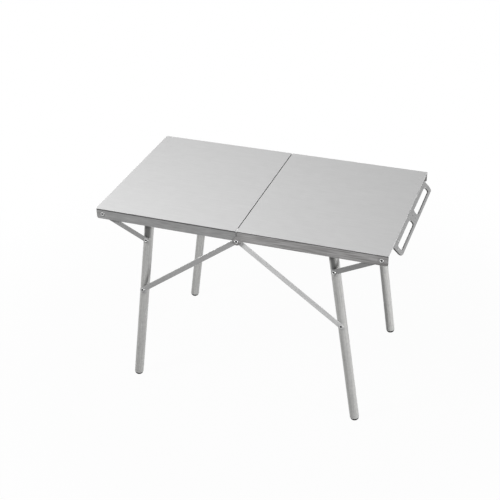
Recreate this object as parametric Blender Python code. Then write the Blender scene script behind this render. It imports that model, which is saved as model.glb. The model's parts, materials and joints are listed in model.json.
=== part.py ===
# Folding camp table: two sheet-metal halves hinged in the middle, on four tube legs.
# Each leg hangs on a short brace from the outer corner and a long brace from the hinge.
# X runs along the table, Y from front to back, Z up, in metres. The floor is z = 0.
import bpy
import bmesh
import math
from mathutils import Vector

# Whole table
TABLE_LENGTH = 1.000
TABLE_WIDTH = 0.5926
TABLE_HEIGHT = 0.690
CLEARANCE = 0.0003

# Top panels
PANEL_THICKNESS = 0.002
PANEL_OVERHANG = 0.0008
PANEL_CORNER_RADIUS = 0.003
SEAM_GAP = 0.003

# Side rails, folded from sheet, and their hinge lugs
RAIL_DEPTH = 0.038
RAIL_THICKNESS = 0.0015
RAIL_FLANGE_WIDTH = 0.0075
RAIL_BEND_RADIUS = 0.0022
RAIL_CORNER_RADIUS = 0.007
LUG_RADIUS = 0.0145
LUG_GAP = 0.0009
TONGUE_RADIUS = 0.010
TONGUE_LENGTH = 0.055
TONGUE_TOP_DROP = 0.010
WELD_MARGIN = 0.004
WELD_DEPTH = 0.0002

# Cross rails at the hinge and at the left end
CROSS_RAIL_DEPTH = 0.034
CROSS_RAIL_FLANGE_WIDTH = 0.016
CROSS_RAIL_LENGTH = 0.536
END_RAIL_LENGTH = 0.465

# Carry handle at the right end
HANDLE_LENGTH = 0.474
HANDLE_WIDTH = 0.041
HANDLE_SLOPE = math.radians(45)
HANDLE_THICKNESS = 0.002
HANDLE_BEND_RADIUS = 0.003
HANDLE_TAB_WIDTH = 0.030
HANDLE_CORNER_RADIUS = 0.016
HANDLE_ROOT_RADIUS = 0.006
HANDLE_ROOT_FLARE = 0.003
HANDLE_RIM_DEPTH = 0.005
SLOT_LENGTH = 0.177
SLOT_WIDTH = 0.018
SLOT_INSET = 0.013
SLOT_CORNER_RADIUS = 0.008
CENTRE_WEB_WIDTH = 0.060

# Pivots of the folding legs
HINGE_DROP = 0.040
CORNER_PIVOT_DROP = 0.020
CORNER_PIVOT_INSET = 0.022
SHORT_BRACE_LENGTH = 0.170
LEG_PIVOT_SPACING = 0.208
LEG_LEAN = math.radians(8)

# Braces
BRACE_WIDTH = 0.018
BRACE_THICKNESS = 0.0025

# Leg tubes, their top plugs and feet
LEG_DIAMETER = 0.028
LEG_WALL = 0.0012
PLUG_CAP_THICKNESS = 0.002
PLUG_DEPTH = 0.016
FOOT_DIAMETER = 0.0265
FOOT_HEIGHT = 0.009
FOOT_SOLE_DIAMETER = 0.018
FOOT_SPIGOT_DEPTH = 0.022

# Tubular rivets and washers
SHANK_DIAMETER = 0.006
RIVET_HEAD_DIAMETER = 0.012
RIVET_HEAD_HEIGHT = 0.002
LOW_HEAD_HEIGHT = 0.0016
RIVET_BORE_DIAMETER = 0.0048
RIVET_BORE_DEPTH = 0.0012
RIVET_TAIL_DIAMETER = 0.009
RIVET_TAIL_HEIGHT = 0.0014
WASHER_DIAMETER = 0.014

# Facets
TUBE_STEPS = 28
RIVET_STEPS = 14
END_STEPS = 10
FILLET_STEPS = 4

# Worked out across the table: each layer lies inside the last one
RAIL_OUTER = TABLE_WIDTH / 2 - PANEL_OVERHANG
RAIL_INNER = RAIL_OUTER - RAIL_THICKNESS
LUG_LAYER = RAIL_INNER - CLEARANCE
OUTER_BRACE_LAYER = LUG_LAYER - RAIL_THICKNESS - CLEARANCE
INNER_BRACE_LAYER = OUTER_BRACE_LAYER - BRACE_THICKNESS - CLEARANCE
LEG_LAYER = INNER_BRACE_LAYER - BRACE_THICKNESS - CLEARANCE
LEG_RADIUS = LEG_DIAMETER / 2
LEG_BORE_RADIUS = LEG_RADIUS - LEG_WALL

# Worked out along the table: the handle reaches past the right half only
HANDLE_REACH = (
    HANDLE_BEND_RADIUS * math.tan(HANDLE_SLOPE / 2)
    + HANDLE_WIDTH * math.cos(HANDLE_SLOPE)
)
HINGE_X = -(HANDLE_REACH - PANEL_OVERHANG) / 2
RAIL_TOP = -PANEL_THICKNESS - CLEARANCE
HALF_LENGTH = TABLE_LENGTH / 2


def direction(angle):
    return Vector((math.cos(angle), math.sin(angle)))


def angle_of(vector):
    return math.atan2(vector.y, vector.x)


# The lower of the two points where two circles meet
def lower_meeting(centre_a, radius_a, centre_b, radius_b):
    span = centre_b - centre_a
    distance = span.length
    along = (radius_a ** 2 - radius_b ** 2 + distance ** 2) / (2 * distance)
    across = math.sqrt(radius_a ** 2 - along ** 2)
    axis = span / distance
    normal = Vector((-axis.y, axis.x))
    foot = centre_a + axis * along
    return min(foot + normal * across, foot - normal * across, key=lambda point: point.y)


# Pivots of a right leg, from the hinge line at the top surface: x outwards, z up.
# Folded, the leg lies level at the height of the corner pivot. That fixes the long brace.
CENTRE_PIVOT = Vector((0, -HINGE_DROP))
CORNER_PIVOT = Vector((HALF_LENGTH - CORNER_PIVOT_INSET, -CORNER_PIVOT_DROP))
FOLDED_LOWER_PIVOT = CORNER_PIVOT + Vector((SHORT_BRACE_LENGTH - LEG_PIVOT_SPACING, 0))
LONG_BRACE_LENGTH = (FOLDED_LOWER_PIVOT - CENTRE_PIVOT).length
LEG_ANGLE = LEG_LEAN - math.pi / 2
LEG_STEP = direction(LEG_ANGLE) * LEG_PIVOT_SPACING
UPPER_PIVOT = lower_meeting(
    CORNER_PIVOT, SHORT_BRACE_LENGTH, CENTRE_PIVOT - LEG_STEP, LONG_BRACE_LENGTH
)
LOWER_PIVOT = UPPER_PIVOT + LEG_STEP
SHORT_BRACE_ANGLE = angle_of(UPPER_PIVOT - CORNER_PIVOT)
LONG_BRACE_ANGLE = angle_of(LOWER_PIVOT - CENTRE_PIVOT)
LEG_BELOW_PIVOT = (TABLE_HEIGHT + UPPER_PIVOT.y) / math.cos(LEG_LEAN)
LEG_ABOVE_PIVOT = (
    -UPPER_PIVOT.y + RAIL_TOP - LEG_RADIUS * math.sin(LEG_LEAN)
) / math.cos(LEG_LEAN)


def remove_old_objects():
    for old in list(bpy.data.objects):
        bpy.data.objects.remove(old)


def make_material(name, colour, roughness, metallic):
    material = bpy.data.materials.new(name)
    material.use_nodes = True
    shader = material.node_tree.nodes["Principled BSDF"]
    shader.inputs["Base Color"].default_value = (*colour, 1)
    shader.inputs["Roughness"].default_value = roughness
    shader.inputs["Metallic"].default_value = metallic
    material.diffuse_color = (*colour, 1)
    return material


# A named object from a bmesh, placed in its parent's frame
def add_object(name, bm, material, location=(0, 0, 0), rotation=(0, 0, 0), parent=None):
    bmesh.ops.recalc_face_normals(bm, faces=bm.faces[:])
    mesh = bpy.data.meshes.new(name)
    bm.to_mesh(mesh)
    bm.free()
    mesh.materials.append(material)
    mesh.shade_smooth()
    mesh.set_sharp_from_angle(angle=math.radians(30))
    new_object = bpy.data.objects.new(name, mesh)
    new_object.location = location
    new_object.rotation_euler = rotation
    new_object.parent = parent
    bpy.context.collection.objects.link(new_object)
    return new_object


def add_empty(name, location):
    empty = bpy.data.objects.new(name, None)
    empty.location = location
    empty.empty_display_size = 0.05
    bpy.context.collection.objects.link(empty)
    return empty


def hide_cutter(cutter):
    cutter.hide_render = True
    cutter.display_type = "WIRE"


def add_boolean(target, tool, operation):
    modifier = target.modifiers.new(operation.lower(), "BOOLEAN")
    modifier.operation = operation
    modifier.solver = "EXACT"
    modifier.object = tool
    hide_cutter(tool)


# Points on an arc, with both ends
def arc(centre, radius, start, end, steps):
    turn = (end - start) / steps
    return [
        (
            centre[0] + radius * math.cos(start + turn * step),
            centre[1] + radius * math.sin(start + turn * step),
        )
        for step in range(steps + 1)
    ]


def circle(centre, radius, steps):
    return arc(centre, radius, 0, 2 * math.pi, steps)[:-1]


# An outline with round corners, from a list of (x, z, corner radius)
def filleted(corners):
    points = []
    for index, (x, z, radius) in enumerate(corners):
        corner = Vector((x, z))
        if radius == 0:
            points.append((x, z))
            continue
        before = Vector(corners[index - 1][:2]) - corner
        after = Vector(corners[(index + 1) % len(corners)][:2]) - corner
        half_angle = before.angle(after) / 2
        start = corner + before.normalized() * radius / math.tan(half_angle)
        end = corner + after.normalized() * radius / math.tan(half_angle)
        middle = (before.normalized() + after.normalized()).normalized()
        centre = corner + middle * radius / math.sin(half_angle)
        start_angle = angle_of(start - centre)
        turn = (angle_of(end - centre) - start_angle + math.pi) % (2 * math.pi) - math.pi
        points += arc(centre, radius, start_angle, start_angle + turn, FILLET_STEPS)
    return points


# Angle, seen from a circle's centre, where the line from a point touches the circle
def tangent_angle(point, centre, radius, side):
    reach = Vector(point) - Vector(centre)
    return angle_of(reach) + side * math.acos(radius / reach.length)


# A filled sheet in the XZ plane, with holes
def sheet(outline, holes=()):
    bm = bmesh.new()
    edges = []
    for loop in [outline, *holes]:
        verts = [bm.verts.new((x, 0, z)) for x, z in loop]
        for start, end in zip(verts, verts[1:] + verts[:1]):
            edges.append(bm.edges.new((start, end)))
    bmesh.ops.triangle_fill(bm, use_beauty=True, use_dissolve=False, edges=edges)
    return bm


# A plate in the XZ plane that is thick towards +Y, or towards -Y if thickness is negative
def plate(outline, thickness, holes=()):
    bm = sheet(outline, holes)
    extruded = bmesh.ops.extrude_face_region(bm, geom=bm.faces[:])
    verts = [item for item in extruded["geom"] if isinstance(item, bmesh.types.BMVert)]
    bmesh.ops.translate(bm, verts=verts, vec=(0, thickness, 0))
    return bm


# Folds a flange off the edge of a sheet that runs through start and end.
# The sheet points up there, and the flange turns towards inward_y.
def fold_flange(bm, start, end, radius, angle, width, inward_y):
    ends = [Vector((start[0], 0, start[1])), Vector((end[0], 0, end[1]))]
    edge = next(
        edge
        for edge in bm.edges
        if all(min((vert.co - point).length for vert in edge.verts) < 1e-6 for point in ends)
    )
    turns = [angle * step / FILLET_STEPS for step in range(FILLET_STEPS + 1)]
    path = [
        Vector((0, inward_y * radius * (1 - math.cos(turn)), radius * math.sin(turn)))
        for turn in turns
    ]
    path.append(path[-1] + Vector((0, inward_y * math.sin(angle), math.cos(angle))) * width)
    for before, after in zip(path, path[1:]):
        extruded = bmesh.ops.extrude_edge_only(bm, edges=[edge])["geom"]
        edge = next(item for item in extruded if isinstance(item, bmesh.types.BMEdge))
        verts = [item for item in extruded if isinstance(item, bmesh.types.BMVert)]
        bmesh.ops.translate(bm, verts=verts, vec=after - before)


# Turns down a rim along every edge of a sheet that lies wholly below a level
def fold_rim(bm, top_z, depth, inward_y):
    edges = [
        edge
        for edge in bm.edges
        if edge.is_boundary and max(vert.co.z for vert in edge.verts) < top_z
    ]
    extruded = bmesh.ops.extrude_edge_only(bm, edges=edges)["geom"]
    verts = [item for item in extruded if isinstance(item, bmesh.types.BMVert)]
    bmesh.ops.translate(bm, verts=verts, vec=(0, inward_y * depth, 0))


# Gives a folded sheet its thickness, inwards from its outer face
def thicken(folded, thickness, outward_y):
    mesh = folded.data
    web = max(mesh.polygons, key=lambda polygon: abs(polygon.normal.y) * polygon.area)
    if web.normal.y * outward_y < 0:
        mesh.flip_normals()
    modifier = folded.modifiers.new("thickness", "SOLIDIFY")
    modifier.thickness = thickness
    modifier.offset = -1
    modifier.use_even_offset = True


# A turned body from a profile of (radius, depth) points about the Y or X axis.
# A profile that doesn't start and end on the axis closes on itself, as a ring.
def turned(profile, steps, axis="Y", flip=1):
    bm = bmesh.new()
    rings = []
    for radius, depth in profile:
        if radius == 0:
            points = [(0, 0)]
        else:
            points = circle((0, 0), radius, steps)
        if axis == "Y":
            rings.append([bm.verts.new((a, depth * flip, b)) for a, b in points])
        else:
            rings.append([bm.verts.new((depth * flip, a, b)) for a, b in points])
    pairs = list(zip(rings, rings[1:]))
    if profile[0][0] > 0:
        pairs.append((rings[-1], rings[0]))
    for first, second in pairs:
        for step in range(steps):
            corners = [
                first[step % len(first)],
                first[(step + 1) % len(first)],
                second[(step + 1) % len(second)],
                second[step % len(second)],
            ]
            bm.faces.new(dict.fromkeys(corners))
    return bm


def ring_profile(inner, outer, thickness):
    return [(inner, 0), (outer, 0), (outer, thickness), (inner, thickness)]


# A tubular rivet: a domed head with a hollow centre, a shank, and a set tail if it has one.
# Depth 0 is under the head.
def rivet_profile(head_height, shank_length, has_tail):
    head = RIVET_HEAD_DIAMETER / 2
    bore = RIVET_BORE_DIAMETER / 2
    shank = SHANK_DIAMETER / 2
    tail = RIVET_TAIL_DIAMETER / 2
    crown = (head + bore) / 2
    profile = [
        (0, RIVET_BORE_DEPTH - head_height),
        (bore, RIVET_BORE_DEPTH - head_height),
        (bore, -head_height * 0.85),
        (crown - bore / 3, -head_height),
        (crown + bore / 3, -head_height * 0.8),
        (head, -head_height * 0.25),
        (head, 0),
        (shank, 0),
    ]
    if has_tail:
        profile += [
            (shank, shank_length),
            (tail, shank_length),
            (tail, shank_length + RIVET_TAIL_HEIGHT * 0.5),
            (shank, shank_length + RIVET_TAIL_HEIGHT),
            (0, shank_length + RIVET_TAIL_HEIGHT),
        ]
    else:
        profile += [(shank, shank_length), (0, shank_length)]
    return profile


# The inner end of the lower leg rivet, from the tube's outer face to its tail
def stub_profile(shank_length):
    shank = SHANK_DIAMETER / 2
    tail = RIVET_TAIL_DIAMETER / 2
    return [
        (0, 0),
        (shank, 0),
        (shank, shank_length),
        (tail, shank_length),
        (tail, shank_length + RIVET_TAIL_HEIGHT * 0.5),
        (shank, shank_length + RIVET_TAIL_HEIGHT),
        (0, shank_length + RIVET_TAIL_HEIGHT),
    ]


def make_top_panel(half, side_name, side_x, material):
    inner = SEAM_GAP / 2
    outline = [
        (side_x * inner, -TABLE_WIDTH / 2, 0),
        (side_x * HALF_LENGTH, -TABLE_WIDTH / 2, PANEL_CORNER_RADIUS),
        (side_x * HALF_LENGTH, TABLE_WIDTH / 2, PANEL_CORNER_RADIUS),
        (side_x * inner, TABLE_WIDTH / 2, 0),
    ]
    add_object(
        f"{side_name}_top_panel",
        plate(filleted(outline), -PANEL_THICKNESS),
        material,
        location=(0, 0, HINGE_DROP),
        rotation=(math.radians(90), 0, 0),
        parent=half,
    )


# The lower inner corner of a side rail. The right rail ends in a round lug about the hinge
# pin, and the left rail is cut back on a slope that clears the lug.
def hinge_corner(side_x):
    slope = math.sqrt(2) * (LUG_RADIUS + LUG_GAP)
    seam = SEAM_GAP / 2
    seam_end = (side_x * seam, slope - seam - HINGE_DROP)
    root = (side_x * (slope - HINGE_DROP + RAIL_DEPTH), -RAIL_DEPTH)
    if side_x < 0:
        return [seam_end, root]
    start = tangent_angle(seam_end, CENTRE_PIVOT, LUG_RADIUS, 1)
    end = tangent_angle(root, CENTRE_PIVOT, LUG_RADIUS, -1) + 2 * math.pi
    return [seam_end, *arc(CENTRE_PIVOT, LUG_RADIUS, start, end, 2 * END_STEPS), root]


# The tongue that the left rail reaches behind the lug, and its weld to the rail
def make_hinge_tongue(half, name, side_y, material):
    slope = math.sqrt(2) * (LUG_RADIUS + LUG_GAP)
    heel_x = -(slope - HINGE_DROP + RAIL_DEPTH) - LUG_GAP
    bottom = -RAIL_DEPTH + 2 * RAIL_THICKNESS
    nose_top = (-SEAM_GAP, -TONGUE_TOP_DROP)
    start = tangent_angle((heel_x, bottom), CENTRE_PIVOT, TONGUE_RADIUS, 1)
    end = tangent_angle(nose_top, CENTRE_PIVOT, TONGUE_RADIUS, -1) + 2 * math.pi
    outline = [
        nose_top,
        (-TONGUE_LENGTH, -TONGUE_TOP_DROP),
        (-TONGUE_LENGTH, bottom),
        (heel_x, bottom),
        *arc(CENTRE_PIVOT, TONGUE_RADIUS, start, end, END_STEPS),
    ]
    tongue = add_object(
        f"{name}_tongue",
        plate(outline, -side_y * RAIL_THICKNESS, [pivot_hole(CENTRE_PIVOT)]),
        material,
        location=(0, side_y * LUG_LAYER, HINGE_DROP),
        parent=half,
    )
    weld_outline = [
        (-TONGUE_LENGTH + WELD_MARGIN, -TONGUE_TOP_DROP - WELD_MARGIN),
        (-TONGUE_LENGTH + WELD_MARGIN, bottom + WELD_MARGIN),
        (heel_x - WELD_MARGIN, bottom + WELD_MARGIN),
        (heel_x - WELD_MARGIN, -TONGUE_TOP_DROP - WELD_MARGIN),
    ]
    weld = add_object(
        f"{name}_weld",
        plate(weld_outline, -side_y * (CLEARANCE + 2 * WELD_DEPTH)),
        material,
        location=(0, side_y * (RAIL_INNER + WELD_DEPTH), HINGE_DROP),
        parent=half,
    )
    return [tongue, weld]


def pivot_hole(centre):
    return circle(centre, SHANK_DIAMETER / 2 + CLEARANCE, RIVET_STEPS)


# A side rail: an outer web with a narrow flange folded in under the panel
def make_side_rail(half, side_name, side_x, end_name, side_y, material):
    name = f"{side_name}_{end_name}_rail"
    web_top = RAIL_TOP - RAIL_BEND_RADIUS
    seam_top = (side_x * SEAM_GAP / 2, web_top)
    outer_x = side_x * (HALF_LENGTH - PANEL_OVERHANG)
    outer_bottom = filleted(
        [
            (side_x * HALF_LENGTH / 2, -RAIL_DEPTH, 0),
            (outer_x, -RAIL_DEPTH, RAIL_CORNER_RADIUS),
            (outer_x, web_top, 0),
        ]
    )
    outline = [seam_top, *hinge_corner(side_x), *outer_bottom[1:]]
    holes = [pivot_hole((side_x * CORNER_PIVOT.x, CORNER_PIVOT.y))]
    if side_x > 0:
        holes.append(pivot_hole(CENTRE_PIVOT))
    bm = sheet(outline, holes)
    fold_flange(
        bm,
        seam_top,
        (outer_x, web_top),
        RAIL_BEND_RADIUS,
        math.radians(90),
        RAIL_FLANGE_WIDTH - RAIL_BEND_RADIUS,
        -side_y,
    )
    rail = add_object(
        name,
        bm,
        material,
        location=(0, side_y * RAIL_OUTER, HINGE_DROP),
        parent=half,
    )
    thicken(rail, RAIL_THICKNESS, side_y)
    if side_x < 0:
        for piece in make_hinge_tongue(half, name, side_y, material):
            add_boolean(rail, piece, "UNION")


# A cross rail under the panel: its web hangs at x, and its flange points towards flange_x
def make_cross_rail(half, name, x, flange_x, length, material):
    web_top = RAIL_TOP - RAIL_BEND_RADIUS
    outline = filleted(
        [
            (-length / 2, web_top, 0),
            (-length / 2, -CROSS_RAIL_DEPTH, RAIL_CORNER_RADIUS),
            (length / 2, -CROSS_RAIL_DEPTH, RAIL_CORNER_RADIUS),
            (length / 2, web_top, 0),
        ]
    )
    bm = sheet(outline)
    fold_flange(
        bm,
        (-length / 2, web_top),
        (length / 2, web_top),
        RAIL_BEND_RADIUS,
        math.radians(90),
        CROSS_RAIL_FLANGE_WIDTH - RAIL_BEND_RADIUS,
        1,
    )
    rail = add_object(
        name,
        bm,
        material,
        location=(x, 0, HINGE_DROP),
        rotation=(0, 0, -flange_x * math.radians(90)),
        parent=half,
    )
    thicken(rail, RAIL_THICKNESS, -1)


# The carry handle: a sloping plate with two hand slots, folded from a tab under the panel
def make_carry_handle(half, material):
    half_length = HANDLE_LENGTH / 2
    shoulder = half_length - HANDLE_ROOT_FLARE
    outline = filleted(
        [
            (-half_length, 0, 0),
            (-shoulder, -HANDLE_ROOT_FLARE, HANDLE_ROOT_RADIUS),
            (-shoulder, -HANDLE_WIDTH, HANDLE_CORNER_RADIUS),
            (shoulder, -HANDLE_WIDTH, HANDLE_CORNER_RADIUS),
            (shoulder, -HANDLE_ROOT_FLARE, HANDLE_ROOT_RADIUS),
            (half_length, 0, 0),
        ]
    )
    slots = [
        filleted(
            [
                (middle - SLOT_LENGTH / 2, -SLOT_INSET, SLOT_CORNER_RADIUS),
                (middle - SLOT_LENGTH / 2, -SLOT_INSET - SLOT_WIDTH, SLOT_CORNER_RADIUS),
                (middle + SLOT_LENGTH / 2, -SLOT_INSET - SLOT_WIDTH, SLOT_CORNER_RADIUS),
                (middle + SLOT_LENGTH / 2, -SLOT_INSET, SLOT_CORNER_RADIUS),
            ]
        )
        for middle in (
            -(CENTRE_WEB_WIDTH + SLOT_LENGTH) / 2,
            (CENTRE_WEB_WIDTH + SLOT_LENGTH) / 2,
        )
    ]
    bm = sheet(outline, slots)
    fold_rim(bm, -HANDLE_ROOT_FLARE, HANDLE_RIM_DEPTH, 1)
    bend_run = HANDLE_BEND_RADIUS * math.tan(HANDLE_SLOPE / 2)
    fold_flange(
        bm,
        (-half_length, 0),
        (half_length, 0),
        HANDLE_BEND_RADIUS,
        HANDLE_SLOPE,
        HANDLE_TAB_WIDTH,
        1,
    )
    bend_drop = bend_run * math.sin(HANDLE_SLOPE)
    handle = add_object(
        "carry_handle",
        bm,
        material,
        location=(
            HALF_LENGTH - PANEL_OVERHANG + bend_run * math.cos(HANDLE_SLOPE),
            0,
            HINGE_DROP + RAIL_TOP - bend_drop,
        ),
        rotation=(HANDLE_SLOPE - math.radians(90), 0, math.radians(90)),
        parent=half,
    )
    thicken(handle, HANDLE_THICKNESS, -1)


# A flat bar with round ends and a pivot hole at each end, along +X from its first pivot
def make_brace(name, length, layer, side_y, location, angle, material, parent):
    end = BRACE_WIDTH / 2
    quarter = math.pi / 2
    outline = [
        *arc((0, 0), end, quarter, 3 * quarter, END_STEPS),
        *arc((length, 0), end, -quarter, quarter, END_STEPS),
    ]
    holes = [pivot_hole((0, 0)), pivot_hole((length, 0))]
    return add_object(
        name,
        plate(outline, -side_y * BRACE_THICKNESS, holes),
        material,
        location=(location.x, side_y * layer, location.y + HINGE_DROP),
        rotation=(0, -angle, 0),
        parent=parent,
    )


# A leg tube along +X from its foot end at +X to its top, with cross holes for both rivets
def make_leg_tube(name, location, angle, material, parent):
    foot_end = LEG_BELOW_PIVOT - FOOT_HEIGHT - CLEARANCE
    top_end = -LEG_ABOVE_PIVOT + PLUG_CAP_THICKNESS + CLEARANCE
    profile = [
        (LEG_BORE_RADIUS, top_end),
        (LEG_RADIUS, top_end),
        (LEG_RADIUS, foot_end),
        (LEG_BORE_RADIUS, foot_end),
    ]
    tube = add_object(
        name,
        turned(profile, TUBE_STEPS, axis="X"),
        material,
        location=location,
        rotation=(0, -angle, 0),
        parent=parent,
    )
    hole = SHANK_DIAMETER / 2 + CLEARANCE
    for label, along in (("upper", 0), ("lower", LEG_PIVOT_SPACING)):
        profile = [(0, -LEG_DIAMETER), (hole, -LEG_DIAMETER), (hole, LEG_DIAMETER), (0, LEG_DIAMETER)]
        cutter = add_object(
            f"{name}_{label}_hole",
            turned(profile, RIVET_STEPS),
            material,
            location=(along, 0, 0),
            parent=tube,
        )
        add_boolean(tube, cutter, "DIFFERENCE")
    return tube


def make_leg_plug(name, tube, material):
    spigot = LEG_BORE_RADIUS - CLEARANCE
    shoulder = -LEG_ABOVE_PIVOT + PLUG_CAP_THICKNESS
    profile = [
        (0, shoulder - PLUG_CAP_THICKNESS),
        (LEG_RADIUS, shoulder - PLUG_CAP_THICKNESS),
        (LEG_RADIUS, shoulder),
        (spigot, shoulder),
        (spigot, shoulder + PLUG_DEPTH),
        (0, shoulder + PLUG_DEPTH),
    ]
    add_object(name, turned(profile, TUBE_STEPS, axis="X"), material, parent=tube)


# A rubber foot: a spigot in the tube and a domed end, cut level where it meets the floor
def make_foot(name, tube, leg_angle, material):
    spigot = LEG_BORE_RADIUS - CLEARANCE
    shoulder = LEG_BELOW_PIVOT - FOOT_HEIGHT
    edge = FOOT_DIAMETER / 2
    sole = FOOT_SOLE_DIAMETER / 2
    dome = [
        (
            sole + (edge - sole) * math.cos(turn),
            shoulder + FOOT_HEIGHT * math.sin(turn),
        )
        for turn in (math.radians(angle) for angle in (0, 22.5, 45, 67.5, 90))
    ]
    profile = [
        (0, shoulder - FOOT_SPIGOT_DEPTH),
        (spigot, shoulder - FOOT_SPIGOT_DEPTH),
        (spigot, shoulder),
        *dome,
        (0, LEG_BELOW_PIVOT),
    ]
    bm = turned(profile, TUBE_STEPS, axis="X")
    up = Vector((math.sin(leg_angle), 0, math.cos(leg_angle)))
    cut = bmesh.ops.bisect_plane(
        bm,
        geom=bm.verts[:] + bm.edges[:] + bm.faces[:],
        plane_co=(LEG_BELOW_PIVOT, 0, 0),
        plane_no=-up,
        clear_outer=True,
    )
    rim = [item for item in cut["geom_cut"] if isinstance(item, bmesh.types.BMEdge)]
    bmesh.ops.contextual_create(bm, geom=rim)
    add_object(name, bm, material, parent=tube)


def make_rivet(name, profile, seat, side_y, location, material, parent):
    add_object(
        name,
        turned(profile, RIVET_STEPS, flip=-side_y),
        material,
        location=(location[0], side_y * seat, location[1]),
        parent=parent,
    )


def make_washer(name, thickness, seat, side_y, location, material, parent):
    hole = SHANK_DIAMETER / 2 + CLEARANCE
    profile = ring_profile(hole, WASHER_DIAMETER / 2, thickness)
    make_rivet(name, profile, seat, side_y, location, material, parent)


# One folding leg with its two braces, rivets and washers
def make_leg(half, side_name, side_x, end_name, side_y, materials):
    label = f"{end_name}_{side_name}"

    def mirrored(angle):
        return angle if side_x > 0 else math.pi - angle

    def place(point):
        return Vector((side_x * point.x, point.y))

    long_layer = INNER_BRACE_LAYER if side_x > 0 else OUTER_BRACE_LAYER
    short_angle = mirrored(SHORT_BRACE_ANGLE)
    leg_angle = mirrored(LEG_ANGLE)
    short_brace = make_brace(
        f"{label}_short_brace",
        SHORT_BRACE_LENGTH,
        OUTER_BRACE_LAYER,
        side_y,
        place(CORNER_PIVOT),
        short_angle,
        materials["brace"],
        half,
    )
    long_brace = make_brace(
        f"{label}_long_brace",
        LONG_BRACE_LENGTH,
        long_layer,
        side_y,
        place(CENTRE_PIVOT),
        mirrored(LONG_BRACE_ANGLE),
        materials["brace"],
        half,
    )
    leg_centre = LEG_LAYER - LEG_RADIUS
    leg = make_leg_tube(
        f"{label}_leg",
        (SHORT_BRACE_LENGTH, side_y * (leg_centre - OUTER_BRACE_LAYER), 0),
        leg_angle - short_angle,
        materials["tube"],
        short_brace,
    )
    make_leg_plug(f"{label}_leg_plug", leg, materials["plastic"])
    make_foot(f"{label}_foot", leg, leg_angle, materials["rubber"])

    corner = (side_x * CORNER_PIVOT.x, CORNER_PIVOT.y + HINGE_DROP)
    corner_seat = RAIL_OUTER + CLEARANCE
    corner_grip = corner_seat - OUTER_BRACE_LAYER + BRACE_THICKNESS + CLEARANCE
    make_rivet(
        f"{label}_corner_rivet",
        rivet_profile(RIVET_HEAD_HEIGHT, corner_grip, True),
        corner_seat,
        side_y,
        corner,
        materials["rivet"],
        half,
    )
    make_washer(
        f"{label}_corner_washer",
        RAIL_THICKNESS,
        LUG_LAYER,
        side_y,
        corner,
        materials["rivet"],
        half,
    )

    upper_seat = OUTER_BRACE_LAYER + CLEARANCE
    upper_grip = upper_seat - LEG_LAYER + LEG_DIAMETER + CLEARANCE
    make_rivet(
        f"{label}_upper_leg_rivet",
        rivet_profile(RIVET_HEAD_HEIGHT, upper_grip, True),
        upper_seat - leg_centre,
        side_y,
        (0, 0),
        materials["rivet"],
        leg,
    )
    make_washer(
        f"{label}_upper_leg_washer",
        BRACE_THICKNESS,
        INNER_BRACE_LAYER - leg_centre,
        side_y,
        (0, 0),
        materials["rivet"],
        leg,
    )

    lower_seat = long_layer + CLEARANCE
    lower_reach = lower_seat - LEG_LAYER - CLEARANCE
    make_rivet(
        f"{label}_lower_leg_rivet",
        rivet_profile(LOW_HEAD_HEIGHT, lower_reach, False),
        CLEARANCE,
        side_y,
        (LONG_BRACE_LENGTH, 0),
        materials["rivet"],
        long_brace,
    )
    make_rivet(
        f"{label}_lower_leg_rivet_tail",
        stub_profile(LEG_DIAMETER + CLEARANCE),
        LEG_RADIUS,
        side_y,
        (LEG_PIVOT_SPACING, 0),
        materials["rivet"],
        leg,
    )
    if side_x < 0:
        make_washer(
            f"{label}_lower_leg_washer",
            BRACE_THICKNESS,
            INNER_BRACE_LAYER - long_layer,
            side_y,
            (LONG_BRACE_LENGTH, 0),
            materials["rivet"],
            long_brace,
        )


# The pin through both rails' lugs and both long braces
def make_hinge_rivet(half, end_name, side_y, material):
    seat = RAIL_OUTER + CLEARANCE
    make_rivet(
        f"{end_name}_hinge_rivet",
        rivet_profile(RIVET_HEAD_HEIGHT, seat - LEG_LAYER, True),
        seat,
        side_y,
        (0, 0),
        material,
        half,
    )


def main():
    remove_old_objects()
    materials = {
        "panel": make_material("satin_aluminium_sheet", (0.66, 0.66, 0.66), 0.45, 0.6),
        "rail": make_material("brushed_steel_sheet", (0.30, 0.30, 0.30), 0.42, 0.8),
        "tube": make_material("galvanised_tube", (0.45, 0.45, 0.44), 0.4, 0.8),
        "brace": make_material("zinc_plated_bar", (0.38, 0.38, 0.38), 0.4, 0.8),
        "rivet": make_material("bright_steel_rivet", (0.62, 0.62, 0.62), 0.25, 1.0),
        "plastic": make_material("black_plastic", (0.03, 0.03, 0.03), 0.5, 0.0),
        "rubber": make_material("black_rubber", (0.02, 0.02, 0.02), 0.7, 0.0),
    }
    hinge_height = TABLE_HEIGHT - HINGE_DROP
    ends = (("front", -1), ("rear", 1))
    for side_name, side_x in (("left", -1), ("right", 1)):
        half = add_empty(f"{side_name}_half", (HINGE_X, 0, hinge_height))
        make_top_panel(half, side_name, side_x, materials["panel"])
        make_cross_rail(
            half,
            f"{side_name}_hinge_cross_rail",
            side_x * SEAM_GAP / 2,
            side_x,
            CROSS_RAIL_LENGTH,
            materials["rail"],
        )
        for end_name, side_y in ends:
            make_side_rail(half, side_name, side_x, end_name, side_y, materials["rail"])
            make_leg(half, side_name, side_x, end_name, side_y, materials)
        if side_x < 0:
            make_cross_rail(
                half,
                "left_end_rail",
                -HALF_LENGTH + PANEL_OVERHANG,
                1,
                END_RAIL_LENGTH,
                materials["rail"],
            )
        else:
            make_carry_handle(half, materials["rail"])
            for end_name, side_y in ends:
                make_hinge_rivet(half, end_name, side_y, materials["rivet"])


main()
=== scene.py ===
import json
import math

import bmesh
import bpy
from mathutils import Matrix, Vector


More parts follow.
